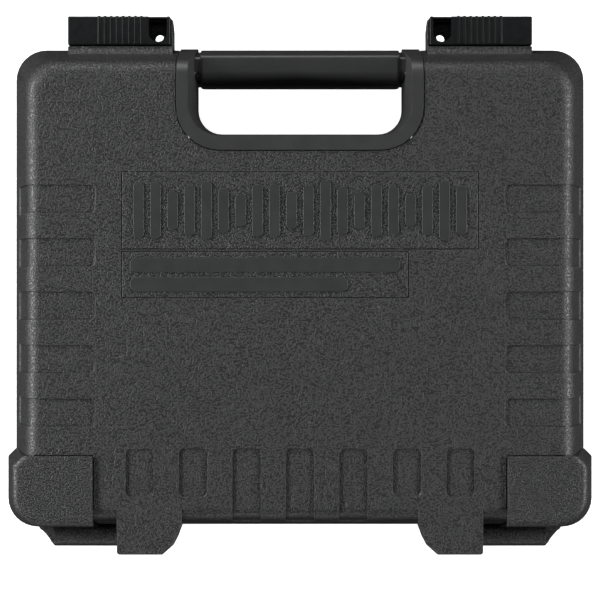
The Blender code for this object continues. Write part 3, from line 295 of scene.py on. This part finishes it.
def latch_plastic():
    """Darker, smoother plastic."""
    finish = Finish("latch_plastic", 0.34, 0.25)
    finish.colour(finish.mix(finish.noise(12 * MM, detail=3.0),
                             (0.0028, 0.0032, 0.0036), (0.0046, 0.005, 0.0054)))
    finish.roughness(finish.remap(finish.noise(4 * MM, detail=4.0, roughness=0.6),
                                  0.3, 0.7, 0.38, 0.48))
    finish.bump(finish.noise(0.3 * MM), 0.006 * MM)
    return finish.material


def steel():
    finish = Finish("steel", 0.3, metallic=1.0)
    finish.colour(finish.mix(finish.noise(1.5 * MM, detail=4.0),
                             (0.42, 0.42, 0.42), (0.62, 0.62, 0.63)))
    finish.roughness(finish.remap(finish.noise(0.8 * MM, detail=4.0), 0.3, 0.7, 0.24, 0.42))
    finish.bump(finish.noise(0.25 * MM), 0.006 * MM)
    return finish.material


def rubber():
    finish = Finish("rubber", 0.85, 0.3)
    finish.colour(finish.mix(finish.noise(3 * MM, detail=4.0),
                             (0.010, 0.010, 0.010), (0.020, 0.020, 0.020)))
    finish.bump(finish.noise(0.4 * MM, detail=3.0), 0.03 * MM)
    return finish.material


def foam(name, cell):
    """Open-cell foam: pores painted dark, painted shade in their pits, in a matt, slightly
    uneven surface.
    """
    finish = Finish(name, 0.95, 0.15)
    pores = finish.node("ShaderNodeTexVoronoi", {
        "Vector": finish.place.outputs["Object"], "Scale": 1.0 / cell})
    open_cells = finish.remap(pores.outputs["Distance"], 0.1, 0.6, 0.0, 1.0)
    patches = finish.remap(finish.noise(20 * MM, detail=3.0), 0.2, 0.8, 0.6, 1.0)
    # Painted shade: the pores' pits are coloured dark, with random tone in patches
    tone = finish.math("MULTIPLY", open_cells, patches)
    finish.colour(finish.mix(tone, (0.006, 0.006, 0.007), (0.040, 0.040, 0.043)))
    finish.shader.inputs["Sheen Weight"].default_value = 0.25
    finish.shader.inputs["Sheen Roughness"].default_value = 0.5
    finish.bump(open_cells, 0.35 * MM)
    return finish.material


FINISHES = {
    "grained_abs": grained_abs(),
    "smooth_abs": smooth_abs(),
    "latch_plastic": latch_plastic(),
    "steel": steel(),
    "rubber": rubber(),
    "foam": foam("foam", 0.9 * MM),
}
RELIEF_FINISH = smooth_abs("relief_plastic", (0.019, 0.020, 0.020), (0.024, 0.025, 0.024))


# ---- Pieces made from the frame's solids ----

def on_rim(face):
    """Whether a face lies on the rim where the lid meets the base."""
    return (abs(face.normal.z) > LEVEL
            and abs(face.calc_center_median().z - PARTING_Z) < RIM_REACH)


def solid_of(node):
    """A node's solid with its flat faces whole again, all but the rims."""
    solid = bmesh.new()
    solid.from_mesh(nodes[node].data)
    bmesh.ops.remove_doubles(solid, verts=solid.verts, dist=WELD)
    bmesh.ops.dissolve_degenerate(solid, dist=WELD, edges=solid.edges)
    whole = [edge for edge in solid.edges if not any(on_rim(face) for face in edge.link_faces)]
    bmesh.ops.dissolve_limit(solid, angle_limit=FLAT, verts=[], edges=whole)
    solid.normal_update()
    return solid


def sharp_runs(solid):
    """Groups of sharp convex edges that touch each other, none of them on a rim."""
    sharp = {edge for edge in solid.edges
             if edge.is_convex and edge.calc_face_angle(0.0) > SHARP
             and not any(on_rim(face) for face in edge.link_faces)}
    runs = []
    for edge in solid.edges:
        if edge not in sharp:
            continue
        sharp.discard(edge)
        run = [edge]
        for member in run:
            for vert in member.verts:
                for near in vert.link_edges:
                    if near in sharp:
                        sharp.discard(near)
                        run.append(near)
        runs.append(run)
    return runs


def union(solids):
    whole = solids[0]
    for solid in solids[1:]:
        whole = combined(whole, solid, "UNION")
    return whole


def less(solid, cutter):
    """A solid with the cutter's shape taken away."""
    return combined(solid, cutter, "DIFFERENCE")


def combined(first, second, operation):
    """The result of a boolean operation on two solids."""
    objects = []
    for shape in (first, second):
        mesh = bpy.data.meshes.new("operand")
        shape.to_mesh(mesh)
        shape.free()
        item = bpy.data.objects.new("operand", mesh)
        bpy.context.scene.collection.objects.link(item)
        objects.append(item)
    target, tool = objects
    modifier = target.modifiers.new("cut", "BOOLEAN")
    modifier.operation = operation
    modifier.solver = "EXACT"
    modifier.object = tool
    result = evaluated_solid(target)
    for item in objects:
        bpy.data.objects.remove(item, do_unlink=True)
    return result


def evaluated_solid(item):
    """The mesh of an object after its modifiers, as a bmesh."""
    bpy.context.view_layer.update()
    depsgraph = bpy.context.evaluated_depsgraph_get()
    mesh = bpy.data.meshes.new_from_object(item.evaluated_get(depsgraph))
    solid = bmesh.new()
    solid.from_mesh(mesh)
    bpy.data.meshes.remove(mesh)
    solid.normal_update()
    return solid


def block(low, high):
    solid = bmesh.new()
    bmesh.ops.create_cube(solid, size=1.0)
    bmesh.ops.scale(solid, vec=Vector(high) - Vector(low), verts=solid.verts)
    bmesh.ops.translate(solid, vec=(Vector(high) + Vector(low)) / 2, verts=solid.verts)
    return solid


def gathered(solids):
    """Several solids in one, side by side."""
    whole = bmesh.new()
    for solid in solids:
        mesh = bpy.data.meshes.new("part")
        solid.to_mesh(mesh)
        solid.free()
        whole.from_mesh(mesh)
        bpy.data.meshes.remove(mesh)
    return whole


def soften(solid, width):
    """Round the sharp edges run by run, so that a small feature limits only its own run."""
    for run in sharp_runs(solid):
        bmesh.ops.bevel(solid, geom=run, offset=width, segments=EDGE_SEGMENTS,
                        profile=EDGE_PROFILE, affect="EDGES", clamp_overlap=True)
    bmesh.ops.remove_doubles(solid, verts=solid.verts, dist=WELD)
    bmesh.ops.dissolve_degenerate(solid, dist=WELD, edges=solid.edges)
    bmesh.ops.triangulate(solid, faces=[face for face in solid.faces if len(face.verts) > 4])
    bmesh.ops.dissolve_degenerate(solid, dist=WELD, edges=solid.edges)
    solid.normal_update()


def piece(name, solid, finish):
    """An object made of a solid, with its sharp edges kept sharp in the shading."""
    mesh = bpy.data.meshes.new(name)
    solid.to_mesh(mesh)
    solid.free()
    mesh.materials.append(finish)
    mesh.shade_smooth()
    mesh.set_sharp_from_angle(angle=SMOOTH)
    item = bpy.data.objects.new(name, mesh)
    bpy.context.scene.collection.objects.link(item)
    return item


def even_normals(item, weight=NORMALS_LARGEST):
    normals = item.modifiers.new("normals", "WEIGHTED_NORMAL")
    normals.weight = weight
    normals.keep_sharp = True


def visible(node, suffix, slot, width, cutter=None):
    """The visible form of a hard node: its solid, cut by fine details, with rounded edges."""
    solid = solid_of(node)
    if cutter is not None:
        solid = less(solid, cutter)
    soften(solid, width)
    item = piece(f"{node}_{suffix}", solid, FINISHES[slot])
    even_normals(item, NORMALS_BY_AREA if node.endswith("handle_half") else NORMALS_LARGEST)
    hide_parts(node)
    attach(item, nodes[node]["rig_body"])


# ---- Relief on the lid ----

LID_FACE = max(vert.co.z for vert in nodes["lid_shell"].data.vertices)


def relief_frames():
    """Narrow grooves in the lid's face that frame the relief."""
    grooves = []
    for low_x, high_x, low_y, high_y in (WAVE_FIELD, STRIPE_FIELD):
        for run in ((low_x, low_x + FRAME_WIDTH, low_y, high_y),
                    (high_x - FRAME_WIDTH, high_x, low_y, high_y),
                    (low_x, high_x, low_y, low_y + FRAME_WIDTH),
                    (low_x, high_x, high_y - FRAME_WIDTH, high_y)):
            grooves.append(block((run[0], run[2], LID_FACE - FRAME_DEPTH),
                                 (run[1], run[3], LID_FACE + CUT_ABOVE)))
    return grooves


def guard_grooves():
    """Narrow grooves in the lid's face along the guards' inner and front edges."""
    grooves = []
    for side in ("left", "right"):
        points = [vert.co for vert in nodes[f"lid_guard_{side}"].data.vertices
                  if vert.co.z > LID_FACE + GUARD_TOP_MARGIN]
        hand = math.copysign(1.0, points[0].x)
        inner = min(abs(point.x) for point in points)
        outer = max(abs(point.x) for point in points) - GROOVE_END
        front = min(point.y for point in points)
        rear = max(point.y for point in points) - GROOVE_END
        for run in ((inner - GROOVE_WIDTH, inner + GROOVE_UNDER, front - GROOVE_WIDTH, rear),
                    (inner, outer, front - GROOVE_WIDTH, front + GROOVE_UNDER)):
            low_x, high_x = sorted((hand * run[0], hand * run[1]))
            grooves.append(block((low_x, run[2], LID_FACE - GROOVE_DEPTH),
                                 (high_x, run[3], LID_FACE + CUT_ABOVE)))
    return grooves


def rounded_bar(low_x, high_x, low_y, high_y):
    """A bar on the lid with rounded corners in plan and a softened top."""
    solid = block((low_x, low_y, LID_FACE - RELIEF_FOOT),
                  (high_x, high_y, LID_FACE + RELIEF_PROUD))
    upright = [edge for edge in solid.edges
               if abs(edge.verts[0].co.z - edge.verts[1].co.z) > RELIEF_FOOT]
    radius = BAR_CORNER * min(high_x - low_x, high_y - low_y)
    bmesh.ops.bevel(solid, geom=upright, offset=radius, segments=BAR_CORNER_SEGMENTS,
                    profile=ROUND_PROFILE, affect="EDGES")
    rim = [edge for edge in solid.edges if all(vert.co.z > LID_FACE for vert in edge.verts)]
    bmesh.ops.bevel(solid, geom=rim, offset=RELIEF_EDGE, segments=RELIEF_EDGE_SEGMENTS,
                    profile=ROUND_PROFILE, affect="EDGES")
    return solid


def relief_piece(name, bars):
    """Bars that ride on the lid as one piece, beyond what the model holds."""
    item = piece(name, gathered(bars), RELIEF_FINISH)
    even_normals(item)
    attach(item, "lid")


def wave_relief():
    """A row of bars of varying length, like a sound wave."""
    low_x, high_x, low_y, high_y = WAVE_FIELD
    fast_step, fast_start, fast_share = WAVE_FAST
    slow_step, slow_share = WAVE_SLOW
    middle = (low_y + high_y) / 2
    longest = high_y - low_y - 2 * RELIEF_MARGIN
    count = int((high_x - low_x - 2 * RELIEF_MARGIN + WAVE_PITCH - WAVE_BAR) / WAVE_PITCH)
    start = (low_x + high_x) / 2 - (count - 1) * WAVE_PITCH / 2
    bars = []
    for index in range(count):
        swing = (abs(math.sin(index * fast_step + fast_start)) * fast_share
                 + abs(math.cos(index * slow_step)) * slow_share)
        half = longest / 2 * (WAVE_SHORTEST + (1 - WAVE_SHORTEST) * swing)
        x = start + index * WAVE_PITCH
        bars.append(rounded_bar(x - WAVE_BAR / 2, x + WAVE_BAR / 2,
                                middle - half, middle + half))
    relief_piece("lid_relief_wave", bars)


def stripe_relief():
    """Long bars beside the wave, each shorter than the one before."""
    low_x, high_x, low_y, high_y = STRIPE_FIELD
    inner = high_y - low_y - 2 * STRIPE_MARGIN
    height = (inner - (STRIPE_COUNT - 1) * STRIPE_GAP) / STRIPE_COUNT
    bars = []
    for index in range(STRIPE_COUNT):
        low = low_y + STRIPE_MARGIN + index * (height + STRIPE_GAP)
        end = low_x + RELIEF_MARGIN + index * STRIPE_STEP
        bars.append(rounded_bar(end, high_x - RELIEF_MARGIN, low, low + height))
    relief_piece("lid_relief_stripes", bars)


def screw_slot(node):
    """The slot in a screw's head; the heads of the base face up and of the lid down."""
    low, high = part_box(node)
    middle = (low + high) / 2
    head = low.z if node.startswith("lid") else high.z
    reach = SCREW_SLOT_LENGTH / 2
    half = SCREW_SLOT_WIDTH / 2
    return block((middle.x - reach, middle.y - half, head - SCREW_SLOT_DEPTH),
                 (middle.x + reach, middle.y + half, head + SCREW_SLOT_DEPTH))


for node_name in nodes:
    for word, (slot_name, edge_width) in MOULDINGS.items():
        if node_name.endswith(word) or f"_{word}_" in node_name:
            grooves = None
            if node_name == "lid_shell":
                grooves = union(relief_frames() + guard_grooves())
            visible(node_name, "moulding", slot_name, edge_width, grooves)
wave_relief()
stripe_relief()
for side in ("left", "right"):
    visible(f"latch_{side}", "slider", "latch_plastic", LATCH_EDGE)
    visible(f"hinge_pin_{side}", "rod", "steel", PIN_EDGE)
    for end in ("front", "rear"):
        visible(f"foot_{end}_{side}", "disc", "rubber", FOOT_EDGE)
for half in ("base", "lid"):
    for number in range(1, 5):
        node_name = f"{half}_handle_screw_{number}"
        visible(node_name, "slotted", "steel", SCREW_EDGE, screw_slot(node_name))


# ---- Foam ----

def evened(solid):
    """A solid's surface as an even net of small faces."""
    mesh = bpy.data.meshes.new("foam")
    solid.to_mesh(mesh)
    solid.free()
    item = bpy.data.objects.new("foam", mesh)
    bpy.context.scene.collection.objects.link(item)
    remesh = item.modifiers.new("net", "REMESH")
    remesh.mode = "VOXEL"
    remesh.voxel_size = FOAM_STEP
    result = evaluated_solid(item)
    bpy.data.objects.remove(item, do_unlink=True)
    return result


def worn(solid):
    """Round the cut edges and let the faces wander a little inwards."""
    for _ in range(FOAM_ROUNDS):
        bmesh.ops.smooth_vert(solid, verts=solid.verts, factor=FOAM_EASE, use_axis_x=True,
                              use_axis_y=True, use_axis_z=True)
    solid.normal_update()
    for vert in solid.verts:
        swell = noise.noise(vert.co / FOAM_WAVELENGTH)
        vert.co -= vert.normal * (FOAM_UNEVEN * (0.5 + 0.5 * swell))
    return solid


def foam_piece(node, suffix, mould=None):
    """A foam part in the shape of its node's solid, carved first where it has a mould."""
    solid = solid_of(node)
    if mould is not None:
        solid = less(solid, mould)
    item = piece(f"{node}_{suffix}", worn(evened(solid)), FINISHES["foam"])
    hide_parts(node)
    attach(item, nodes[node]["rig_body"])


def cone_mould(node):
    """What is cut away under the lid's pad to leave rows of soft cones."""
    low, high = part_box(node)
    span_x = high.x - low.x + 2 * CONE_PITCH
    span_y = high.y - low.y + 2 * CONE_PITCH
    solid = bmesh.new()
    bmesh.ops.create_grid(solid, x_segments=int(span_x / FOAM_STEP),
                          y_segments=int(span_y / FOAM_STEP), size=0.5)
    middle = (low + high) / 2
    for vert in solid.verts:
        x = middle.x + vert.co.x * span_x
        y = middle.y + vert.co.y * span_y
        swing = math.cos(math.tau * x / CONE_PITCH) * math.cos(math.tau * y / CONE_PITCH)
        vert.co = (x, y, low.z + CONE_DEPTH * (0.5 - 0.5 * swing))
    rim = [edge for edge in solid.edges if edge.is_boundary]
    skirt = bmesh.ops.extrude_edge_only(solid, edges=rim)
    lower = [item for item in skirt["geom"] if isinstance(item, bmesh.types.BMVert)]
    for vert in lower:
        vert.co.z = low.z - CONE_DEPTH
    bmesh.ops.contextual_create(solid, geom=[edge for edge in solid.edges if edge.is_boundary])
    bmesh.ops.recalc_face_normals(solid, faces=solid.faces)
    return solid


for node_name, suffix in (("base_foam_floor", "sheet"), ("base_foam_frame", "block"),
                          ("foam_divider_left", "block"), ("foam_divider_right", "block")):
    foam_piece(node_name, suffix)
foam_piece("lid_foam_pad", "cones", cone_mould("lid_foam_pad"))


# ---- Studio ----

def floor_material():
    """Glowing, so that the floor is an even white."""
    finish = Finish("floor", FLOOR_ROUGHNESS, 0.2)
    finish.shader.inputs["Base Color"].default_value = (*FLOOR_COLOUR, 1.0)
    finish.shader.inputs["Emission Color"].default_value = (1.0, 1.0, 1.0, 1.0)
    finish.shader.inputs["Emission Strength"].default_value = FLOOR_GLOW
    return finish.material


def make_floor():
    """A white floor that throws no light on the case and isn't mirrored in it."""
    solid = bmesh.new()
    bmesh.ops.create_grid(solid, x_segments=1, y_segments=1, size=FLOOR_SIZE)
    bmesh.ops.translate(solid, vec=(0, 0, FLOOR_Z), verts=solid.verts)
    floor = piece("floor", solid, floor_material())
    floor.visible_diffuse = False
    floor.visible_glossy = False


def area_light(name, location, width, height, power):
    data = bpy.data.lights.new(name, "AREA")
    data.shape = "RECTANGLE"
    data.size = width
    data.size_y = height
    data.energy = power
    item = bpy.data.objects.new(name, data)
    bpy.context.scene.collection.objects.link(item)
    item.location = location
    away = Vector(location) - Vector(LIGHT_TARGET)
    item.rotation_euler = away.to_track_quat("Z", "Y").to_euler()


def make_world():
    """Dim light from all round, stronger from above than from below."""
    world = bpy.data.worlds.new("studio")
    bpy.context.scene.world = world
    world.use_nodes = True
    tree = world.node_tree
    background = tree.nodes["Background"]
    place = tree.nodes.new("ShaderNodeTexCoord")
    split = tree.nodes.new("ShaderNodeSeparateXYZ")
    tree.links.new(place.outputs["Generated"], split.inputs[0])
    height = tree.nodes.new("ShaderNodeMapRange")
    height.inputs["From Min"].default_value = WORLD_BLEND[0]
    height.inputs["From Max"].default_value = WORLD_BLEND[1]
    height.inputs["To Min"].default_value = WORLD_LOW
    height.inputs["To Max"].default_value = WORLD_HIGH
    tree.links.new(split.outputs["Z"], height.inputs["Value"])
    background.inputs["Color"].default_value = (*WORLD_COLOUR, 1.0)
    tree.links.new(height.outputs["Result"], background.inputs["Strength"])


def make_studio():
    make_floor()
    make_world()
    for light in LIGHTS:
        area_light(*light)
    bpy.context.scene.view_settings.view_transform = "Standard"


def make_camera():
    """A camera straight above, with the handle at the top of the picture."""
    data = bpy.data.cameras.new("camera")
    data.sensor_width = SENSOR
    data.lens = CAMERA_LENS
    data.clip_start = CLIP_NEAR
    data.clip_end = CLIP_FAR
    item = bpy.data.objects.new("camera", data)
    bpy.context.scene.collection.objects.link(item)
    item.location = (0, CAMERA_Y, CAMERA_HEIGHT)
    item.rotation_euler = (0, 0, math.pi)
    bpy.context.scene.camera = item


make_studio()
make_camera()
